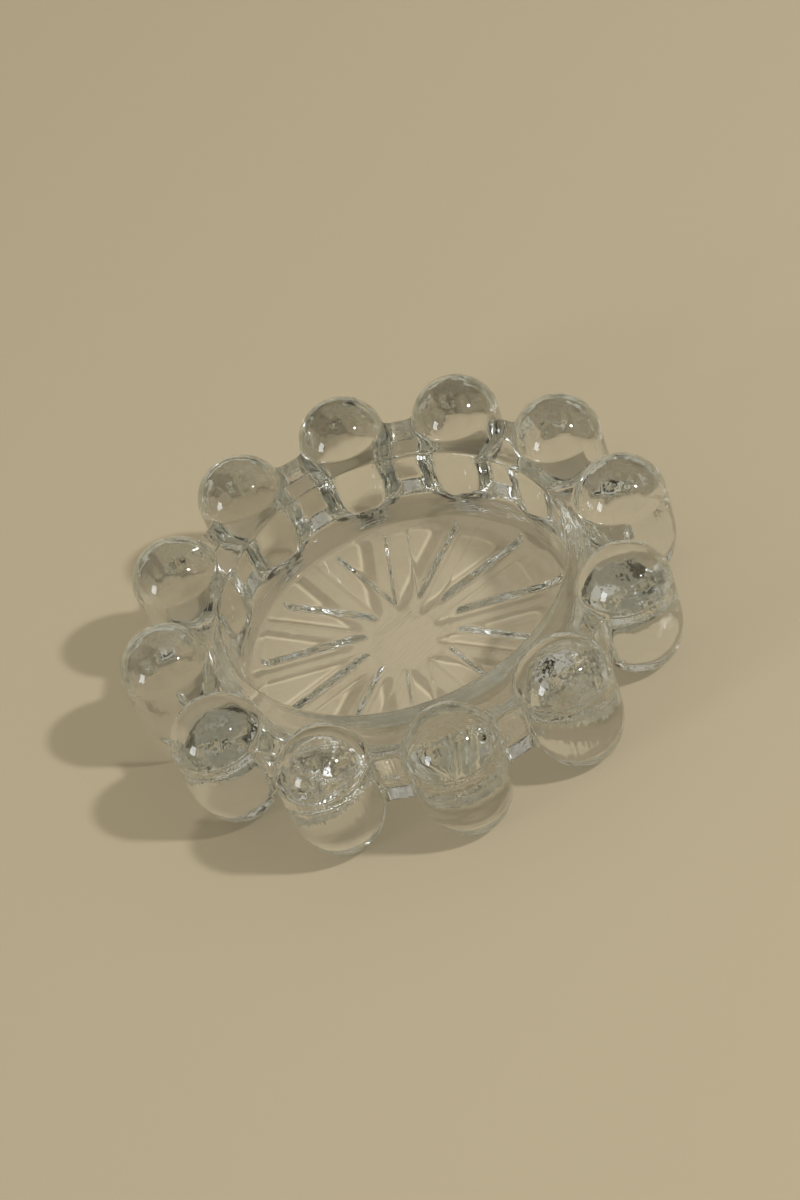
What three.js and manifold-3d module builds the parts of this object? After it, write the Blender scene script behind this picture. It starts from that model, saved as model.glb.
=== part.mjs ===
// Pressed-glass candle holder: a shallow dish held inside a ring of round posts, each with a
// dome-shaped knob on top. Units are millimetres, +Z is up, the table is z = 0 and the dish
// axis is the Z axis. The regions of the moulding are kept a thin seam apart.

import * as THREE from 'three';
import { mergeVertices } from 'three/addons/utils/BufferGeometryUtils.js';
import Module from 'manifold-3d';

const wasm = await Module();
wasm.setup();

// Ring of posts
const POST_COUNT = 12;
const POST_RADIUS = 9.6;
const POST_FOOT_RADIUS = 2.9;     // flat that stands on the table
const POST_ROUNDING_HEIGHT = 12;  // height of the egg-shaped underside

// Flat upper face that joins posts, webs and dish wall
const DECK_HEIGHT = 22;

// Knobs
const KNOB_RADIUS = 9.7;
const KNOB_RISE = 7.5;            // deck to the top of the dome
const KNOB_SINK = 0.6;            // how far under the deck the dome would be widest

// Webs between neighbouring posts
const WEB_REACH = 8.9;            // dish wall to the outer face of each web
const WEB_THICKNESS = 13;
const WEB_SHOULDER = 5;           // degrees from a post's axis to the side of the web

// Dish
const RIM_RADIUS = 36.9;
const RIM_WIDTH = 3.2;            // flat rim, inner edge to the posts
const DISH_DEPTH = 17.3;          // rim to the floor between the petals
const WALL_DRAFT = 1.4;           // radius lost from the rim to the floor
const DISH_CORNER_RADIUS = 1;     // inside corner of wall and floor
const BASE_CORNER_RADIUS = 5;     // outside corner under the dish
const FLOOR_THICKNESS = 3.5;      // between the petals

// Petals raised on the dish floor
const PETAL_COUNT = 12;
const PETAL_TURN = 8;             // degrees from a post's axis to a petal's axis
const SPOKE_WIDTH = 4.2;          // strip of floor between two petals
const PETAL_TIP_RADIUS = 0.6;
const PETAL_MARGIN = 0.5;         // petals' outer ends to the inside corner
const PETAL_CORNER_RADIUS = 3;    // corners at a petal's outer end
const PETAL_RISE = 1.5;           // floor to the petals' flat tops
const PETAL_FLANK = 0.6;          // how far the sides lean in over that rise

const SEAM = 0.3;                 // clearance between neighbouring regions
const GLASS_COLOUR = 0xe3ebe6;

// How finely the curved faces are cut
const RING_SEGMENTS = 96;
const POST_SEGMENTS = 28;
const DOME_STEPS = 7;
const POST_ROUNDING_STEPS = 7;
const CORNER_STEPS = 4;
const PETAL_STEPS = 4;

// Sizes that follow from the ones above
const postPitch = 360 / POST_COUNT;
const petalPitch = 360 / PETAL_COUNT;
const wallOuterRadius = RIM_RADIUS + RIM_WIDTH;
const postRingRadius = wallOuterRadius + SEAM + POST_RADIUS;
const webOuterRadius = wallOuterRadius + WEB_REACH;
const floorHeight = DECK_HEIGHT - DISH_DEPTH;
const undersideHeight = floorHeight - FLOOR_THICKNESS;
const floorRadius = RIM_RADIUS - WALL_DRAFT - DISH_CORNER_RADIUS;

const radians = THREE.MathUtils.degToRad;

// Points of an elliptical arc, from one angle in degrees to another
function arcPoints(centreX, centreY, radiusX, radiusY, from, to, steps) {
  const points = [];
  for (let i = 0; i <= steps; i += 1) {
    const angle = radians(from + (to - from) * i / steps);
    points.push(new THREE.Vector2(
      centreX + radiusX * Math.cos(angle),
      centreY + radiusY * Math.sin(angle),
    ));
  }
  return points;
}

// A closed three.js geometry as a solid that can be joined and cut
function solidFrom(geometry) {
  const bare = geometry.clone();
  bare.deleteAttribute('normal');
  bare.deleteAttribute('uv');
  const merged = mergeVertices(bare, 1e-4);
  const index = merged.index.array;
  const triangles = [];
  for (let i = 0; i < index.length; i += 3) {
    const [a, b, c] = [index[i], index[i + 1], index[i + 2]];
    if (a !== b && b !== c && c !== a) triangles.push(a, b, c);
  }
  return new wasm.Manifold(new wasm.Mesh({
    numProp: 3,
    vertProperties: new Float32Array(merged.attributes.position.array),
    triVerts: new Uint32Array(triangles),
  }));
}

// A solid back as a three.js geometry
function geometryFrom(solid) {
  const mesh = solid.getMesh();
  const geometry = new THREE.BufferGeometry();
  geometry.setAttribute('position', new THREE.BufferAttribute(mesh.vertProperties, 3));
  geometry.setIndex(new THREE.BufferAttribute(mesh.triVerts, 1));
  return geometry;
}

// A profile of (radius, height) points turned about the Z axis
function turned(profile, segments) {
  return solidFrom(new THREE.LatheGeometry(profile, segments).rotateX(Math.PI / 2));
}

// A plan outline raised straight up from one height to another
function raised(outline, bottom, top) {
  const shape = new THREE.Shape(outline);
  const geometry = new THREE.ExtrudeGeometry(shape, { depth: top - bottom, bevelEnabled: false });
  return solidFrom(geometry.translate(0, 0, bottom));
}

// Round post with an egg-shaped underside, flat foot and flat top
function makePost() {
  const profile = [
    new THREE.Vector2(0, 0),
    ...arcPoints(POST_FOOT_RADIUS, POST_ROUNDING_HEIGHT, POST_RADIUS - POST_FOOT_RADIUS,
      POST_ROUNDING_HEIGHT, -90, 0, POST_ROUNDING_STEPS),
    new THREE.Vector2(POST_RADIUS, DECK_HEIGHT),
    new THREE.Vector2(0, DECK_HEIGHT),
  ];
  return turned(profile, POST_SEGMENTS).translate([postRingRadius, 0, 0]);
}

// Web between two posts, centred on +X: a slice of ring less the posts on either side
function makeWeb() {
  const half = postPitch / 2;
  const shoulder = half - WEB_SHOULDER;
  const inner = wallOuterRadius + SEAM;
  const outline = [
    ...arcPoints(0, 0, inner, inner, shoulder, -shoulder, 2 * CORNER_STEPS),
    ...arcPoints(0, 0, webOuterRadius, webOuterRadius, -half, half, 2 * CORNER_STEPS),
  ];
  const slice = raised(outline, DECK_HEIGHT - WEB_THICKNESS, DECK_HEIGHT);
  const side = arcPoints(postRingRadius, 0, POST_RADIUS + SEAM, POST_RADIUS + SEAM, 0, 360,
    POST_SEGMENTS);
  const post = raised(side.slice(1), -SEAM, DECK_HEIGHT + SEAM);
  return slice.subtract(post.rotate([0, 0, half])).subtract(post.rotate([0, 0, -half]));
}

// Dome-shaped knob, its flat base a seam above the deck
function makeKnob() {
  const height = KNOB_RISE + KNOB_SINK;
  const start = THREE.MathUtils.radToDeg(Math.asin((KNOB_SINK + SEAM) / height));
  const centre = DECK_HEIGHT - KNOB_SINK;
  const profile = [
    new THREE.Vector2(0, DECK_HEIGHT + SEAM),
    ...arcPoints(0, centre, KNOB_RADIUS, height, start, 90, DOME_STEPS),
  ];
  profile[profile.length - 1].x = 0;
  return turned(profile, POST_SEGMENTS).translate([postRingRadius, 0, 0]);
}

// Wall of the dish with the inside corner and the outer edge of its base
function makeDishWall() {
  const inside = floorRadius;
  const cornerHeight = floorHeight + DISH_CORNER_RADIUS;
  const baseCentre = wallOuterRadius - BASE_CORNER_RADIUS;
  const base = undersideHeight + BASE_CORNER_RADIUS;
  const profile = [
    new THREE.Vector2(inside, undersideHeight),
    ...arcPoints(baseCentre, base, BASE_CORNER_RADIUS, BASE_CORNER_RADIUS, -90, 0, CORNER_STEPS),
    new THREE.Vector2(wallOuterRadius, DECK_HEIGHT),
    new THREE.Vector2(RIM_RADIUS, DECK_HEIGHT),
    ...arcPoints(inside, cornerHeight, DISH_CORNER_RADIUS, DISH_CORNER_RADIUS, 0, -90, CORNER_STEPS),
    new THREE.Vector2(inside, undersideHeight),
  ];
  return turned(profile, RING_SEGMENTS);
}

// Plan of one petal along +X, its sides half a spoke away from the next petal's and its outer
// end following the dish wall
function petalOutline() {
  const half = petalPitch / 2;
  const lean = 90 + half;
  const tipCentre = (PETAL_TIP_RADIUS + SPOKE_WIDTH / 2) / Math.sin(radians(half));
  const outer = floorRadius - PETAL_MARGIN;
  const cornerRing = outer - PETAL_CORNER_RADIUS;
  const offSpoke = Math.asin((PETAL_CORNER_RADIUS + SPOKE_WIDTH / 2) / cornerRing);
  const turn = half - THREE.MathUtils.radToDeg(offSpoke);
  const cornerX = cornerRing * Math.cos(radians(turn));
  const cornerY = cornerRing * Math.sin(radians(turn));
  return [
    ...arcPoints(tipCentre, 0, PETAL_TIP_RADIUS, PETAL_TIP_RADIUS, lean, 360 - lean, PETAL_STEPS),
    ...arcPoints(cornerX, -cornerY, PETAL_CORNER_RADIUS, PETAL_CORNER_RADIUS, -lean, -turn,
      PETAL_STEPS),
    ...arcPoints(0, 0, outer, outer, -turn / 2, turn / 2, 1),
    ...arcPoints(cornerX, cornerY, PETAL_CORNER_RADIUS, PETAL_CORNER_RADIUS, turn, lean,
      PETAL_STEPS),
  ];
}

// One petal, its flat top above sloped sides, its lower part buried in the floor plate
function makePetal() {
  const inset = Math.min(PETAL_FLANK, PETAL_TIP_RADIUS * 0.8);
  const buried = FLOOR_THICKNESS / 2;
  const geometry = new THREE.ExtrudeGeometry(new THREE.Shape(petalOutline()), {
    depth: buried - PETAL_RISE,
    bevelThickness: PETAL_RISE,
    bevelSize: inset,
    bevelOffset: -inset,
    bevelSegments: 1,
  });
  return solidFrom(geometry.translate(0, 0, floorHeight - buried + PETAL_RISE));
}

// Floor plate of the dish, flat below, with the ring of petals raised on it
function makeDishFloor() {
  const radius = floorRadius - SEAM;
  const profile = [
    new THREE.Vector2(0, undersideHeight),
    new THREE.Vector2(radius, undersideHeight),
    new THREE.Vector2(radius, floorHeight),
    new THREE.Vector2(0, floorHeight),
  ];
  let floor = turned(profile, RING_SEGMENTS);
  const petal = makePetal();
  for (let i = 0; i < PETAL_COUNT; i += 1) {
    floor = floor.add(petal.rotate([0, 0, PETAL_TURN + petalPitch * i]));
  }
  return floor;
}

function glass() {
  return new THREE.MeshStandardMaterial({
    color: GLASS_COLOUR,
    roughness: 0.04,
    metalness: 0,
    transparent: true,
    opacity: 0.35,
  });
}

function namedMesh(name, solid, turn = 0) {
  const mesh = new THREE.Mesh(geometryFrom(solid), glass());
  mesh.name = name;
  mesh.rotation.z = radians(turn);
  return mesh;
}

// One copy for each post, numbered from the post on +X
function ringOf(prefix, solid, offset) {
  const copies = new THREE.Group();
  for (let i = 0; i < POST_COUNT; i += 1) {
    const number = String(i + 1).padStart(2, '0');
    copies.add(namedMesh(`${prefix}_${number}`, solid, offset + postPitch * i));
  }
  return copies;
}

const candleHolder = new THREE.Group();
candleHolder.add(namedMesh('dish_floor', makeDishFloor()));
candleHolder.add(namedMesh('dish_wall', makeDishWall()));
candleHolder.add(ringOf('post', makePost(), 0));
candleHolder.add(ringOf('web', makeWeb(), postPitch / 2));
candleHolder.add(ringOf('knob', makeKnob(), 0));

export default candleHolder;
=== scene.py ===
# Glass candle holder: one moulding of clear pressed glass, a shallow dish held inside a ring of
# round posts, each with a dome-shaped knob on top. Units are metres, +Z is up, and the table is
# at height 0.

import math

import bpy
from bpy.props import FloatProperty, FloatVectorProperty, IntProperty, PointerProperty
from mathutils import Matrix, Vector


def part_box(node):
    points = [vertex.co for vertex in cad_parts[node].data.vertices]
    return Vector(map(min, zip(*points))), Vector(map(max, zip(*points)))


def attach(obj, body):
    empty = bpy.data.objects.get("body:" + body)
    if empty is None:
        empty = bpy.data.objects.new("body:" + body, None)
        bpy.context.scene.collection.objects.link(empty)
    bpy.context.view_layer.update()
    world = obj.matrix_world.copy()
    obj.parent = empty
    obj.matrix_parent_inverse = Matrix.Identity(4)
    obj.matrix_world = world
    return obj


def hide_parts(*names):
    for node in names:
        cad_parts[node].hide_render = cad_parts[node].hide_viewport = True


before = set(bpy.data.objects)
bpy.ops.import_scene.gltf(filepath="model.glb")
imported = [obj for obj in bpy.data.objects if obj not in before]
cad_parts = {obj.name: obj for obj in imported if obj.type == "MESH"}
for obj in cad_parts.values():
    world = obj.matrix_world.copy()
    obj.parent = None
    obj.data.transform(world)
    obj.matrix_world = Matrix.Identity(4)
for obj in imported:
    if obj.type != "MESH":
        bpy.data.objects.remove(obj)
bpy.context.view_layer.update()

bl_info = {
    "name": "Glass candle holder",
    "version": (1, 0, 0),
    "blender": (4, 5, 0),
    "location": "3D View > Sidebar > Candle holder",
    "description": "Builds a candle dish of pressed glass on a ring of knobbed posts",
    "category": "Object",
}

# What the construction model says
WALL_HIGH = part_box("dish_wall")[1]
FLOOR_LOW, FLOOR_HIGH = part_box("dish_floor")
POST_LOW, POST_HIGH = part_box("post_01")
KNOB_LOW, KNOB_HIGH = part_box("knob_01")
WEB_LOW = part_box("web_01")[0]
POST_COUNT = sum(name.startswith("post_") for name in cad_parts)

# Sizes of the moulding that stay out of the sidebar. The least spread keeps the distance to a
# post defined over its foot, and the margin is the room round the moulding in its grid.
PETAL_RISE = 0.0015
WEB_CORNER = 0.0005
LEAST_SPREAD = 0.0001
MARGIN_VOXELS = 2.5

# Noise of each kind of mark in the glass: stretch along the axes, scale and detail
EVEN = (1.0, 1.0, 1.0)
WAVE_NOISE = (EVEN, 220.0, 2.0)
STREAK_NOISE = ((1.0, 1.0, 0.12), 900.0, 1.0)
THREAD_NOISE = ((1.0, 1.0, 0.08), 1700.0, 0.0)
GRAIN_NOISE = ((1.0, 1.0, 0.7), 1500.0, 0.0)
RING_NOISE = (EVEN, 1600.0, 1.0)
LINE_NOISE = (EVEN, 1400.0, 1.0)

# Depths of the marks. The rings drift a little with the angle round the dish and fade up its
# wall, and the straight lines are stretched noise, skewed from the X axis.
WAVE_IN_DISH, WAVE_IN_POSTS = 0.2, 0.8
STREAK_DEPTH, THREAD_DEPTH, GRAIN_DEPTH = 0.2, 0.12, 0.06
RING_DRIFT = 0.002
RINGS_FADE = 0.8
LINE_SKEW = math.radians(31.0)
LINE_STRETCH = 0.1
RELIEF_DEPTH = 0.001

# Ramps in the glass by the distance from the dish axis, each with its start and end
POSTS_FROM = (0.0385, 0.0395)
WALL_FROM = (0.0325, 0.0335)
RINGS_FROM, RINGS_TO = (0.0325, 0.0345), (0.0405, 0.0415)
LINES_TO = (0.0085, 0.0105)

# Ramps by the height over the table
STREAKS_FROM, STREAKS_TO = (0.006, 0.010), (0.0212, 0.0218)
RINGS_LOW = (0.007, 0.010)
PETAL_TOPS = (0.0058, 0.0061)

# Ramps by how far a face looks straight up or down
FLAT_FACE = (0.985, 0.999)
SOFT_EDGE = (0.6, 0.9)

# A soft edge gathers light and may pass on up to this many times what falls on it
BRIGHTEST = 2.0

# Ramps in the room by the upward part of a direction
CEILING = (0.1, 0.6)
FAR_FOOT_TO = (0.40, 0.60)
BAND_FROM, BAND_TO = (0.45, 0.55), (0.85, 0.92)

# Ramps in the room by the part of a direction that leads to the near or the far side
NEAR_SIDE = (0.15, 0.45)
FAR_SIDE = (0.35, 0.65)
BAND_SIDE = (0.12, 0.30)

# Dark things in the room, and the finer ones in the light band with the ramp of their gaps
THINGS_STRETCH = (1.0, 1.0, 0.4)
THINGS_DETAIL = 2.0
FINER = 3.0
FINE_GAPS = (0.40, 0.44)

# Table top, with a hair's breadth between it and the feet
TABLE_RADIUS = 1.8
TABLE_CORNERS = 96
TABLE_DROP = 0.00002

# Camera: the focal length and the place of the middle of the ring of knobs are in pixels
PICTURE_WIDTH, PICTURE_HEIGHT = 800.0, 1200.0
RING_PIXEL = Vector((389.559, 573.978))
FOCAL_PIXELS = 2511.66
SENSOR_WIDTH = 36.0
AIM = Vector((0.0, 0.0, 0.023))


def length(name, about, default):
    """A size in metres for the sidebar."""
    return FloatProperty(name=name, description=about, default=default, min=0.0, precision=5,
                         subtype="DISTANCE", unit="LENGTH")


def angle(name, about, degrees):
    """An angle for the sidebar."""
    return FloatProperty(name=name, description=about, default=math.radians(degrees),
                         subtype="ANGLE", unit="ROTATION")


def amount(name, about, default):
    """A plain number for the sidebar."""
    return FloatProperty(name=name, description=about, default=default, min=0.0)


def fraction(name, about, default):
    """A share of one for the sidebar."""
    return FloatProperty(name=name, description=about, default=default, min=0.0, max=1.0)


def tone(name, about, *default):
    """A colour for the sidebar."""
    return FloatVectorProperty(name=name, description=about, default=default, min=0.0, max=1.0,
                               subtype="COLOR")


def power(name, about, watts):
    """A lamp's power for the sidebar."""
    return FloatProperty(name=name, description=about, default=watts, min=0.0,
                         subtype="POWER", unit="POWER")


class GlassSizes(bpy.types.PropertyGroup):
    """Sizes of the glass moulding. Each but the triangle count is also a named input of its node
    tree.
    """

    ring_radius: length("Ring radius", "Dish axis to the middle of each post",
                        (KNOB_LOW[0] + KNOB_HIGH[0]) / 2)
    deck_height: length("Deck height", "Flat upper face of rim, webs and posts", WALL_HIGH[2])
    post_radius: length("Post radius", "Radius of a post seen from above",
                        (POST_HIGH[1] - POST_LOW[1]) / 2)
    foot_radius: length("Foot radius", "Flat foot that stands on the table", 0.0029)
    post_rounding: length("Post rounding", "Height of the egg-shaped underside", 0.012)
    knob_radius: length("Knob radius", "Radius of the ball that a knob is cut from", 0.00978)
    knob_top: length("Knob top", "Height of the top of a knob", KNOB_HIGH[2])
    web_radius: length("Web radius", "Dish axis to the outer face of the webs", 0.049)
    web_bottom: length("Web bottom", "Underside of the webs", WEB_LOW[2])
    rim_radius: length("Rim radius", "Inner edge of the dish's rim", 0.0369)
    wall_radius: length("Wall radius", "Outer face of the dish wall", WALL_HIGH[0])
    wall_draft: length("Wall draft", "Radius lost from the rim to the floor", 0.0014)
    dish_corner: length("Dish corner", "Rounding between the dish's wall and floor", 0.001)
    base_corner: length("Base corner", "Rounding under the edge of the dish", 0.005)
    floor_top: length("Floor top", "Height of the dish floor between the petals",
                      FLOOR_HIGH[2] - PETAL_RISE)
    floor_bottom: length("Floor bottom", "Height of the dish's underside", FLOOR_LOW[2])
    petal_turn: angle("Petal turn", "From a post's axis to a petal's axis", 8)
    petal_spoke: length("Petal spoke", "Strip of floor between two petals", 0.0042)
    petal_tip: length("Petal tip", "Radius of a petal's inner end", 0.0006)
    petal_outer: length("Petal outer radius", "Dish axis to the petals' outer ends", 0.0340)
    petal_corner: length("Petal corner", "Rounding of the corners at a petal's outer end", 0.0030)
    petal_rise: length("Petal rise", "How far the petals stand above the floor", PETAL_RISE)
    petal_lean: amount("Petal lean", "How far a flank leans for each unit of rise", 0.5)
    petal_edge: length("Petal edge", "Softness of the upper edges of a petal", 0.0004)
    petal_foot: length("Petal foot", "Softness of the join between petal and floor", 0.0008)
    fillet: length("Fillet", "Softness of the joins between posts, webs and dish", 0.0028)
    edge: length("Edge", "Softness of the rim and of the edges of the webs", 0.0008)
    crease: length("Crease", "Softness of the line where a knob meets its post", 0.0005)
    voxel: length("Voxel", "Step of the grid that the surface is read from", 0.0004)
    triangles: IntProperty(name="Triangles", description="Most triangles in the finished moulding",
                           default=190000, min=1000)


class GlassFinish(bpy.types.PropertyGroup):
    """How the glass looks."""

    tint: tone("Tint", "What is left of white light in thick glass", 0.85, 0.90, 0.80)
    tint_density: amount("Tint density", "How fast the tint builds up", 5.0)
    refraction: FloatProperty(name="Refractive index", description="Of soda glass", default=1.51,
                              min=1.0, max=2.0)
    wave: fraction("Wave", "Strength of the slow waves in the glass", 0.08)
    streak: fraction("Streak", "Strength of the streaks left by the mould", 0.45)
    rings: fraction("Rings", "Strength of the fine rings at the floor's edge", 0.15)
    lines: fraction("Lines", "Strength of the straight lines of the centre disc", 0.12)
    shadow_dish: fraction("Light through flat faces",
                          "Share of the light that passes each flat face of the dish", 1.0)
    shadow_flank: fraction("Light through flanks",
                           "Share of the light that passes each sloping face of a petal", 0.62)
    shadow_wall: fraction("Light through wall",
                          "Share of the light that passes each face of the dish wall", 0.92)
    shadow_ring: fraction("Light through posts",
                          "Share of the light that passes each face of the posts", 0.70)


class StageSettings(bpy.types.PropertyGroup):
    """Floor, lights and camera."""

    floor_colour: tone("Floor", "Colour of the table", 0.62, 0.525, 0.36)
    backdrop: tone("Backdrop", "What the camera sees behind the table", 0.44, 0.37, 0.24)
    room_low: tone("Room, low", "Light from the room's walls", 0.48, 0.425, 0.29)
    room_high: tone("Room, high", "Light from the room's ceiling", 0.54, 0.475, 0.33)
    room_near: tone("Room, near", "Light from the near side", 0.24, 0.235, 0.18)
    room_far: tone("Room, far", "Light from the foot of the far wall", 0.20, 0.19, 0.14)
    room_dark: tone("Room, dark", "Light from the dark things in the room", 0.02, 0.018, 0.012)
    room_band: tone("Room, band", "Light from high on the far wall", 0.43, 0.415, 0.35)
    things_scale: amount("Things' scale", "How many dark things are in the room", 4.0)
    things_edge: amount("Things' edge", "Softness of the dark things' outlines", 0.02)
    things_share: fraction("Things' share", "More makes the dark things wider", 0.50)
    key_power: power("Key light", "Power of the main softbox", 62.0)
    window_power: power("Window light", "Power of the low side softbox", 7.5)
    camera_height: angle("Camera height", "Angle of the view above the table", 42.304)
    camera_side: angle("Camera side", "Angle of the view round the object", 1.289)
    camera_roll: angle("Camera roll", "Tilt of the picture", -21.395)
    camera_distance: length("Camera distance", "Camera to the middle of the ring of knobs",
                            0.515676)


class Number:
    """A socket's number. Python's operators on it add Math nodes to its tree."""

    def __init__(self, nodes, socket):
        self.nodes = nodes
        self.socket = socket

    def __add__(self, other):
        return self.nodes.math("ADD", self, other)

    def __radd__(self, other):
        return self.nodes.math("ADD", other, self)

    def __sub__(self, other):
        return self.nodes.math("SUBTRACT", self, other)

    def __rsub__(self, other):
        return self.nodes.math("SUBTRACT", other, self)

    def __mul__(self, other):
        return self.nodes.math("MULTIPLY", self, other)

    def __rmul__(self, other):
        return self.nodes.math("MULTIPLY", other, self)

    def __truediv__(self, other):
        return self.nodes.math("DIVIDE", self, other)

    def __neg__(self):
        return self.nodes.math("MULTIPLY", self, -1.0)

    def __abs__(self):
        return self.nodes.math("ABSOLUTE", self)


class Nodes:
    """Adds nodes to one tree."""

    def __init__(self, tree):
        self.tree = tree

    def feed(self, socket, value):
        """Links a socket to a value, or sets it."""
        if isinstance(value, Number):
            value = value.socket
        if isinstance(value, bpy.types.NodeSocket):
            self.tree.links.new(value, socket)
        else:
            socket.default_value = value

    def add(self, kind, settings=None, values=None):
        """One node: its settings first, then the values or links of its sockets."""
        node = self.tree.nodes.new(kind)
        for name, value in (settings or {}).items():
            setattr(node, name, value)
        for socket, value in (values or {}).items():
            self.feed(node.inputs[socket], value)
        return node

    def math(self, operation, *values):
        """One Math node, as a number."""
        node = self.add("ShaderNodeMath", {"operation": operation})
        for socket, value in zip(node.inputs, values):
            self.feed(socket, value)
        return Number(self, node.outputs[0])

    def distance(self, across, up):
        """Length of the vector (across, up)."""
        return self.math("SQRT", across * across + up * up)

    def join(self, first, second, softness):
        """Distance to two solids together, with a soft join."""
        return self.math("SMOOTH_MIN", first, second, softness)

    def cut(self, first, second, softness):
        """Distance to what two solids share, with a soft edge."""
        return self.math("SMOOTH_MAX", first, second, softness)

    def rise(self, value, start, end):
        """Nought before the start, one past the end, and a smooth ramp between."""
        node = self.add("ShaderNodeMapRange", {"interpolation_type": "SMOOTHSTEP"}, {
            "Value": value, "From Min": start, "From Max": end, "To Min": 0.0, "To Max": 1.0})
        return Number(self, node.outputs[0])

    def fall(self, value, start, end):
        """One before the start, nought past the end, and a smooth ramp between."""
        return 1.0 - self.rise(value, start, end)

    def noise(self, place, stretch, scale, detail):
        """Noise from nought to one, stretched along the axes."""
        stretched = self.add("ShaderNodeMapping", values={"Vector": place, "Scale": stretch})
        node = self.add("ShaderNodeTexNoise", values={
            "Vector": stretched.outputs[0], "Scale": scale, "Detail": detail, "Roughness": 0.5})
        return Number(self, node.outputs[0])

    def blend(self, share, first, second):
        """A colour between two others, each a socket or three numbers."""
        node = self.add("ShaderNodeMix", {"data_type": "RGBA"})
        colours = [socket for socket in node.inputs if socket.type == "RGBA"]
        for socket, colour in zip(colours, (first, second)):
            self.feed(socket, colour if isinstance(colour, bpy.types.NodeSocket)
                      else (*colour, 1.0))
        self.feed(node.inputs["Factor"], share)
        return node.outputs["Result"]

    def clamp(self, value, low, high):
        """A number kept between two others."""
        return self.math("MINIMUM", self.math("MAXIMUM", value, low), high)

    def corner(self, side, end, radius):
        """Distance to what two outlines share, their corner rounded to the given radius."""
        side, end = side + radius, end + radius
        outside = self.distance(self.math("MAXIMUM", side, 0.0), self.math("MAXIMUM", end, 0.0))
        inside = self.math("MINIMUM", self.math("MAXIMUM", side, end), 0.0)
        return outside + inside - radius

    def block(self, across, up, half_width, half_height, corner):
        """Distance to a rectangle with round corners."""
        return self.corner(abs(across) - half_width, abs(up) - half_height, corner)

    def tapered(self, along, aside, reach, end_radius, taper):
        """Distance to the outline round a large and a small circle, reach apart."""
        slope = self.math("SINE", taper)
        step = self.clamp(along - aside * self.math("TANGENT", taper), 0.0, reach)
        return self.distance(aside, along - step) - end_radius + slope * step


def fold(nodes, radius, azimuth, turn, count):
    """Place along and beside the nearest of a ring of axes, the first at the given turn."""
    pitch = 2 * math.pi / count
    offset = azimuth - turn
    local = offset - pitch * nodes.math("ROUND", offset / pitch)
    along = radius * nodes.math("COSINE", local)
    aside = abs(radius * nodes.math("SINE", local))
    return along, aside


def post_distance(nodes, size, along, aside, height):
    """A post: round, egg-shaped underneath, with a flat foot."""
    inset = size["post_radius"] - size["foot_radius"]
    drop = nodes.math("MAXIMUM", size["post_rounding"] - height, 0.0)
    flat = nodes.distance(along - size["ring_radius"], aside)
    spread = nodes.math("MAXIMUM", flat - size["foot_radius"], LEAST_SPREAD)
    near = nodes.distance(spread / inset, drop / size["post_rounding"])
    slope = nodes.distance(spread / (inset * inset),
                           drop / (size["post_rounding"] * size["post_rounding"]))
    return near * (near - 1.0) / slope


def knob_distance(nodes, size, along, aside, height):
    """A knob: the upper part of a ball, standing on its post."""
    centre = size["knob_top"] - size["knob_radius"]
    flat = nodes.distance(along - size["ring_radius"], aside)
    ball = nodes.distance(flat, height - centre) - size["knob_radius"]
    return nodes.math("MAXIMUM", ball, size["deck_height"] - height)


def ring_distance(nodes, inner, outer, low, high, radius, height, corner):
    """A ring of rectangular section with round corners."""
    return nodes.block(radius - (inner + outer) / 2, height - (low + high) / 2,
                       (outer - inner) / 2, (high - low) / 2, corner)


def recess_distance(nodes, size, radius, height):
    """The inside of the dish, open above."""
    rise = size["deck_height"] - size["floor_top"]
    lean = size["wall_draft"] * (height - size["floor_top"]) / rise
    wall = size["rim_radius"] - size["wall_draft"] + lean
    return nodes.block(radius, height - size["floor_top"] - 2 * rise, wall, 2 * rise,
                       size["dish_corner"])


def petal_distance(nodes, size, along, aside, height):
    """A petal: a flat-topped boss on the dish floor, pointed towards the middle."""
    half = math.pi / POST_COUNT
    far_radius = size["petal_outer"] / 3
    far_at = (far_radius + size["petal_spoke"] / 2) / math.sin(half)
    tip_at = (size["petal_tip"] + size["petal_spoke"] / 2) / math.sin(half)
    sides = nodes.tapered(far_at - along, aside, far_at - tip_at, far_radius, half)
    end = nodes.distance(along, aside) - size["petal_outer"]
    plan = nodes.corner(sides, end, size["petal_corner"])
    top = size["floor_top"] + size["petal_rise"]
    flank = plan + (height - size["floor_top"]) * size["petal_lean"]
    boss = nodes.cut(flank, height - top, size["petal_edge"])
    return nodes.math("MAXIMUM", boss, size["floor_bottom"] - height)


def moulding_distance(nodes, size, position):
    """Distance to the whole moulding, below nought inside the glass."""
    place = nodes.add("ShaderNodeSeparateXYZ", values={0: position})
    x, y, height = (Number(nodes, socket) for socket in place.outputs)
    radius = nodes.distance(x, y)
    azimuth = nodes.math("ARCTAN2", y, x)
    along, aside = fold(nodes, radius, azimuth, 0.0, POST_COUNT)

    glass = post_distance(nodes, size, along, aside, height)
    webs = ring_distance(nodes, size["rim_radius"], size["web_radius"], size["web_bottom"],
                         size["deck_height"], radius, height, WEB_CORNER)
    glass = nodes.join(glass, webs, size["fillet"])
    bowl = ring_distance(nodes, -size["wall_radius"], size["wall_radius"], size["floor_bottom"],
                         size["deck_height"] + size["base_corner"], radius, height,
                         size["base_corner"])
    glass = nodes.join(glass, bowl, size["fillet"])
    glass = nodes.cut(glass, height - size["deck_height"], size["edge"])
    glass = nodes.cut(glass, -recess_distance(nodes, size, radius, height), size["edge"])
    petal_along, petal_aside = fold(nodes, radius, azimuth, size["petal_turn"], POST_COUNT)
    petal = petal_distance(nodes, size, petal_along, petal_aside, height)
    glass = nodes.join(glass, petal, size["petal_foot"])
    knob = knob_distance(nodes, size, along, aside, height)
    return nodes.join(glass, knob, size["crease"])


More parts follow.
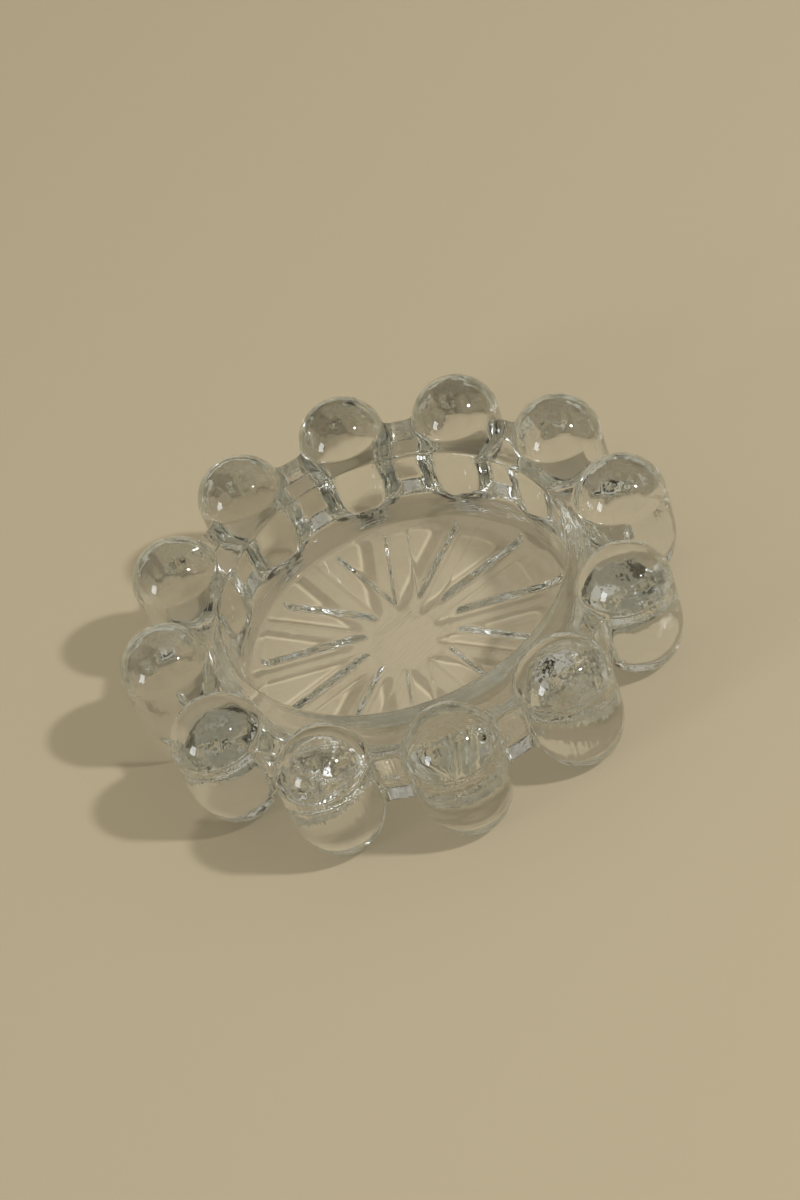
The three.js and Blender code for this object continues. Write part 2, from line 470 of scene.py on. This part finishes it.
def moulding_tree(sizes, material):
    """Geometry nodes that fill a grid with the distance and read the surface from it."""
    tree = bpy.data.node_groups.new("Pressed glass", "GeometryNodeTree")
    names = [name for name in sizes.__annotations__ if name != "triangles"]
    for name in names:
        tree.interface.new_socket(name=name, in_out="INPUT", socket_type="NodeSocketFloat")
    tree.interface.new_socket(name="Geometry", in_out="OUTPUT", socket_type="NodeSocketGeometry")
    nodes = Nodes(tree)
    given = nodes.add("NodeGroupInput")
    size = {name: Number(nodes, given.outputs[name]) for name in names}
    position = nodes.add("GeometryNodeInputPosition").outputs[0]
    distance = moulding_distance(nodes, size, position)

    margin = MARGIN_VOXELS * size["voxel"]
    reach = size["ring_radius"] + size["post_radius"] + margin
    low = nodes.add("ShaderNodeCombineXYZ", values={0: -reach, 1: -reach, 2: -margin})
    high = nodes.add("ShaderNodeCombineXYZ", values={0: reach, 1: reach,
                                                     2: size["knob_top"] + margin})
    across = nodes.math("CEIL", 2 * reach / size["voxel"])
    up = nodes.math("CEIL", (size["knob_top"] + 2 * margin) / size["voxel"])
    cube = nodes.add("GeometryNodeVolumeCube", values={
        "Density": -distance, "Background": -1.0, "Min": low.outputs[0], "Max": high.outputs[0],
        "Resolution X": across, "Resolution Y": across, "Resolution Z": up})
    surface = nodes.add("GeometryNodeVolumeToMesh", {"resolution_mode": "GRID"},
                        {"Volume": cube.outputs[0], "Threshold": 0.0, "Adaptivity": 0.0})
    smooth = nodes.add("GeometryNodeSetShadeSmooth", values={"Geometry": surface.outputs[0]})
    solid = nodes.add("GeometryNodeRealizeInstances", values={"Geometry": smooth.outputs[0]})
    painted = nodes.add("GeometryNodeSetMaterial", values={"Geometry": solid.outputs[0],
                                                           "Material": material})
    nodes.add("NodeGroupOutput", values={"Geometry": painted.outputs[0]})
    return tree


def plain_mesh(holder, name):
    """What an object's modifiers make, as a new plain mesh."""
    depsgraph = bpy.context.evaluated_depsgraph_get()
    mesh = bpy.data.meshes.new_from_object(holder.evaluated_get(depsgraph), depsgraph=depsgraph)
    mesh.name = name
    return mesh


def thin_out(piece, triangles):
    """Fewer, larger faces where the surface is flat, down to the given number of triangles."""
    count = sum(len(face.vertices) - 2 for face in piece.data.polygons)
    if count <= triangles:
        return
    thinner = piece.modifiers.new("Thin out", "DECIMATE")
    thinner.ratio = triangles / count
    leveller = piece.modifiers.new("Flat areas first", "WEIGHTED_NORMAL")
    leveller.mode = "FACE_AREA"
    piece.data = plain_mesh(piece, piece.data.name)
    piece.modifiers.clear()


def blank_nodes(block):
    """The emptied node tree of a new material or world."""
    block.use_nodes = True
    block.node_tree.nodes.clear()
    return Nodes(block.node_tree)


def mould_relief(nodes, finish, place, outside):
    """Waves, streaks, rings and straight lines that the mould leaves in the glass."""
    parts = nodes.add("ShaderNodeSeparateXYZ", values={0: place})
    x, y, height = (Number(nodes, socket) for socket in parts.outputs)
    radius = nodes.distance(x, y)

    wave_depth = WAVE_IN_DISH + outside * (WAVE_IN_POSTS - WAVE_IN_DISH)
    waves = finish.wave * nodes.noise(place, *WAVE_NOISE) * wave_depth

    moulded = outside * nodes.fall(height, *STREAKS_TO) * nodes.rise(height, *STREAKS_FROM)
    marks = (nodes.noise(place, *STREAK_NOISE) * STREAK_DEPTH
             + nodes.noise(place, *THREAD_NOISE) * THREAD_DEPTH
             + nodes.noise(place, *GRAIN_NOISE) * GRAIN_DEPTH)
    streaks = finish.streak * moulded * marks

    drift = nodes.math("ARCTAN2", y, x) * RING_DRIFT
    turned = nodes.add("ShaderNodeCombineXYZ", values={0: radius, 1: height, 2: drift})
    ringed = (nodes.rise(radius, *RINGS_FROM) * nodes.fall(radius, *RINGS_TO)
              * (1.0 - RINGS_FADE * nodes.rise(height, *RINGS_LOW)))
    rings = finish.rings * ringed * nodes.noise(turned.outputs[0], *RING_NOISE)

    across = x * math.sin(LINE_SKEW) - y * math.cos(LINE_SKEW)
    along = x * math.cos(LINE_SKEW) + y * math.sin(LINE_SKEW)
    crossing = nodes.add("ShaderNodeCombineXYZ", values={0: across, 1: along * LINE_STRETCH})
    lined = nodes.fall(radius, *LINES_TO)
    lines = finish.lines * lined * nodes.noise(crossing.outputs[0], *LINE_NOISE)
    return waves + streaks + rings + lines


def light_through(nodes, finish, normal, radius, height, outside):
    """Share of the light that a face passes straight on, for the light on the table alone.

    Flat faces of the dish pass the most, and the soft upper edges of the petals gather light.
    """
    parts = nodes.add("ShaderNodeSeparateXYZ", values={0: normal})
    upright = abs(Number(nodes, parts.outputs["Z"]))
    flat = nodes.rise(upright, *FLAT_FACE)
    gather = (1.0 - flat) * nodes.rise(upright, *SOFT_EDGE) * nodes.rise(height, *PETAL_TOPS)
    dish = finish.shadow_flank + flat * (finish.shadow_dish - finish.shadow_flank) + gather
    dish = dish + nodes.rise(radius, *WALL_FROM) * (finish.shadow_wall - dish)
    share = dish + outside * (finish.shadow_ring - dish)
    ray = nodes.add("ShaderNodeLightPath")
    shadow = nodes.math("MAXIMUM", ray.outputs["Is Shadow Ray"], ray.outputs["Is Diffuse Ray"])
    return shadow * share


def glass_material(finish):
    """Clear soda glass: a faint green-grey where it is thick, with ripples left by the mould."""
    material = bpy.data.materials.new("Pressed glass")
    nodes = blank_nodes(material)
    coordinates = nodes.add("ShaderNodeTexCoord")
    place = coordinates.outputs["Object"]
    parts = nodes.add("ShaderNodeSeparateXYZ", values={0: place})
    x, y, height = (Number(nodes, socket) for socket in parts.outputs)
    radius = nodes.distance(x, y)
    outside = nodes.rise(radius, *POSTS_FROM)
    bump = nodes.add("ShaderNodeBump", values={
        "Strength": 1.0, "Distance": RELIEF_DEPTH,
        "Height": mould_relief(nodes, finish, place, outside)})
    shader = nodes.add("ShaderNodeBsdfPrincipled", values={
        "Base Color": (1.0, 1.0, 1.0, 1.0), "Roughness": 0.0, "IOR": finish.refraction,
        "Transmission Weight": 1.0, "Normal": bump.outputs[0]})
    clear = nodes.add("ShaderNodeBsdfTransparent", values={
        "Color": (BRIGHTEST, BRIGHTEST, BRIGHTEST, 1.0)})
    passed = light_through(nodes, finish, coordinates.outputs["Normal"], radius, height, outside)
    surface = nodes.add("ShaderNodeMixShader", values={
        0: passed / BRIGHTEST, 1: shader.outputs[0], 2: clear.outputs[0]})
    depth = nodes.add("ShaderNodeVolumeAbsorption", values={
        "Color": (*finish.tint, 1.0), "Density": finish.tint_density})
    nodes.add("ShaderNodeOutputMaterial", values={"Surface": surface.outputs[0],
                                                  "Volume": depth.outputs[0]})
    return material


class CANDLE_OT_glass(bpy.types.Operator):
    """Builds the glass moulding: dish, rim, webs, posts and knobs in one piece"""

    bl_idname = "candle_holder.glass"
    bl_label = "Glass moulding"

    def execute(self, context):
        sizes = context.scene.candle_glass
        material = glass_material(context.scene.candle_finish)
        holder = bpy.data.objects.new("glass_grid", bpy.data.meshes.new("glass_grid"))
        context.scene.collection.objects.link(holder)
        tree = moulding_tree(sizes, material)
        modifier = holder.modifiers.new("Pressed glass", "NODES")
        modifier.node_group = tree
        for item in tree.interface.items_tree:
            if item.in_out == "INPUT":
                modifier[item.identifier] = getattr(sizes, item.name)
        mesh = plain_mesh(holder, "glass_moulding")
        bpy.data.objects.remove(holder)
        if not mesh.polygons:
            raise RuntimeError("the grid gave no surface")
        piece = bpy.data.objects.new("glass_moulding", mesh)
        context.scene.collection.objects.link(piece)
        thin_out(piece, sizes.triangles)
        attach(piece, "root")
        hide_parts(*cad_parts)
        return {"FINISHED"}


def softbox(name, azimuth, height, distance, size, watts, colour=(1.0, 1.0, 1.0)):
    """A soft rectangular lamp that faces the object. Angles are in degrees."""
    lamp = bpy.data.lights.new(name, "AREA")
    lamp.shape = "RECTANGLE"
    lamp.size, lamp.size_y = size
    lamp.energy = watts
    lamp.color = colour
    side, up = math.radians(azimuth), math.radians(height)
    direction = Vector((math.cos(up) * math.cos(side), math.cos(up) * math.sin(side), math.sin(up)))
    piece = bpy.data.objects.new(name, lamp)
    piece.matrix_world = (Matrix.Translation(direction * distance)
                          @ direction.to_track_quat("Z", "Y").to_matrix().to_4x4())
    bpy.context.scene.collection.objects.link(piece)


def table_top(colour):
    """A round matt painted table top, in a material of its own."""
    material = bpy.data.materials.new("Table top")
    nodes = blank_nodes(material)
    shader = nodes.add("ShaderNodeBsdfPrincipled", values={
        "Base Color": (*colour, 1.0), "Roughness": 0.8, "Specular IOR Level": 0.2})
    nodes.add("ShaderNodeOutputMaterial", values={"Surface": shader.outputs[0]})

    turns = [math.tau * step / TABLE_CORNERS for step in range(TABLE_CORNERS)]
    mesh = bpy.data.meshes.new("table")
    mesh.from_pydata([(TABLE_RADIUS * math.cos(turn), TABLE_RADIUS * math.sin(turn), 0.0)
                      for turn in turns], [], [tuple(range(TABLE_CORNERS))])
    mesh.materials.append(material)
    table = bpy.data.objects.new("table", mesh)
    table.location.z = -TABLE_DROP
    bpy.context.scene.collection.objects.link(table)
    return table


def room_light(nodes, stage):
    """Colour of the room in each direction: walls, ceiling, dark things and a light band."""
    direction = nodes.add("ShaderNodeTexCoord").outputs["Generated"]
    parts = nodes.add("ShaderNodeSeparateXYZ", values={0: direction})
    up = Number(nodes, parts.outputs["Z"])
    away = Number(nodes, parts.outputs["Y"])
    room = nodes.blend(nodes.rise(up, *CEILING), stage.room_low, stage.room_high)
    far_foot = nodes.rise(away, *FAR_SIDE) * nodes.fall(up, *FAR_FOOT_TO)
    room = nodes.blend(far_foot, room, stage.room_far)
    room = nodes.blend(nodes.rise(-away, *NEAR_SIDE), room, stage.room_near)

    share, edge = stage.things_share, stage.things_edge
    things = nodes.noise(direction, THINGS_STRETCH, stage.things_scale, THINGS_DETAIL)
    gaps = nodes.rise(things, share - edge, share + edge)
    room = nodes.blend(gaps, stage.room_dark, room)

    fine_things = nodes.noise(direction, THINGS_STRETCH, stage.things_scale * FINER,
                              THINGS_DETAIL)
    bright = nodes.blend(nodes.rise(fine_things, *FINE_GAPS), stage.room_dark, stage.room_band)
    band = nodes.rise(up, *BAND_FROM) * nodes.fall(up, *BAND_TO) * nodes.rise(away, *BAND_SIDE)
    return nodes.blend(band, room, bright)


def room_world(stage):
    """The room round the object. The camera itself sees a plain backdrop instead."""
    world = bpy.data.worlds.new("Studio")
    nodes = blank_nodes(world)
    seen = nodes.add("ShaderNodeLightPath").outputs["Is Camera Ray"]
    light = nodes.blend(seen, room_light(nodes, stage), stage.backdrop)
    glow = nodes.add("ShaderNodeBackground", values={"Color": light, "Strength": 1.0})
    nodes.add("ShaderNodeOutputWorld", values={"Surface": glow.outputs[0]})
    return world


def camera_matrix(stage):
    """Looks at the middle of the ring of knobs, which lies off the middle of the picture."""
    side, up = stage.camera_side, stage.camera_height
    back = Vector((math.sin(side) * math.cos(up), -math.cos(side) * math.cos(up), math.sin(up)))
    right = (-back).cross(Vector((0.0, 0.0, 1.0))).normalized()
    above = right.cross(-back)
    turn = stage.camera_roll
    rolled_right = math.cos(turn) * right + math.sin(turn) * above
    rolled_up = -math.sin(turn) * right + math.cos(turn) * above
    offset = RING_PIXEL - Vector((PICTURE_WIDTH / 2, PICTURE_HEIGHT / 2))
    aim_in_picture = Vector((offset.x, -offset.y, -FOCAL_PIXELS)).normalized()
    swing = Vector((0.0, 0.0, -1.0)).rotation_difference(aim_in_picture).to_matrix()
    axes = Matrix((rolled_right, rolled_up, back)).transposed()
    rotation = axes @ swing.transposed()
    return Matrix.Translation(AIM + back * stage.camera_distance) @ rotation.to_4x4()


def photo_camera(stage):
    """The camera, placed as for the photo."""
    lens = bpy.data.cameras.new("camera")
    lens.sensor_fit = "AUTO"
    lens.sensor_width = SENSOR_WIDTH
    lens.lens = SENSOR_WIDTH * FOCAL_PIXELS / PICTURE_HEIGHT
    lens.clip_start = 0.01
    camera = bpy.data.objects.new("camera", lens)
    camera.matrix_world = camera_matrix(stage)
    bpy.context.scene.collection.objects.link(camera)
    return camera


class CANDLE_OT_stage(bpy.types.Operator):
    """Adds the floor, the lights and the camera"""

    bl_idname = "candle_holder.stage"
    bl_label = "Stage"

    def execute(self, context):
        scene = context.scene
        stage = scene.candle_stage
        table = table_top(stage.floor_colour)
        softbox("key", azimuth=-27, height=44, distance=3.0, size=(0.16, 0.16),
                watts=stage.key_power)
        softbox("window", azimuth=-158, height=20, distance=2.0, size=(0.42, 0.66),
                watts=stage.window_power, colour=(0.90, 0.95, 1.0))
        scene.world = room_world(stage)
        scene.camera = photo_camera(stage)
        scene.view_settings.view_transform = "Standard"
        scene.cycles.max_bounces = 48
        scene.cycles.transmission_bounces = 48
        scene.cycles.glossy_bounces = 16
        scene.cycles.caustics_refractive = False
        scene.cycles.caustics_reflective = False
        return {"FINISHED"}


class CANDLE_PT_sidebar(bpy.types.Panel):
    """Lists the steps that build the candle holder"""

    bl_label = "Candle holder"
    bl_idname = "CANDLE_PT_sidebar"
    bl_space_type = "VIEW_3D"
    bl_region_type = "UI"
    bl_category = "Candle holder"

    def draw(self, context):
        for settings in (context.scene.candle_glass, context.scene.candle_finish,
                         context.scene.candle_stage):
            box = self.layout.box()
            for name in settings.__annotations__:
                box.prop(settings, name)
        for step in STEPS:
            self.layout.operator(step.bl_idname)


SETTINGS = {"candle_glass": GlassSizes, "candle_finish": GlassFinish, "candle_stage": StageSettings}
STEPS = (CANDLE_OT_stage, CANDLE_OT_glass)


def register():
    for kind in (*SETTINGS.values(), *STEPS, CANDLE_PT_sidebar):
        bpy.utils.register_class(kind)
    for name, kind in SETTINGS.items():
        setattr(bpy.types.Scene, name, PointerProperty(type=kind))


def unregister():
    for name in SETTINGS:
        delattr(bpy.types.Scene, name)
    for kind in reversed((*SETTINGS.values(), *STEPS, CANDLE_PT_sidebar)):
        bpy.utils.unregister_class(kind)


def main():
    register()
    bpy.ops.candle_holder.stage()
    bpy.ops.candle_holder.glass()


if __name__ == "__main__":
    main()
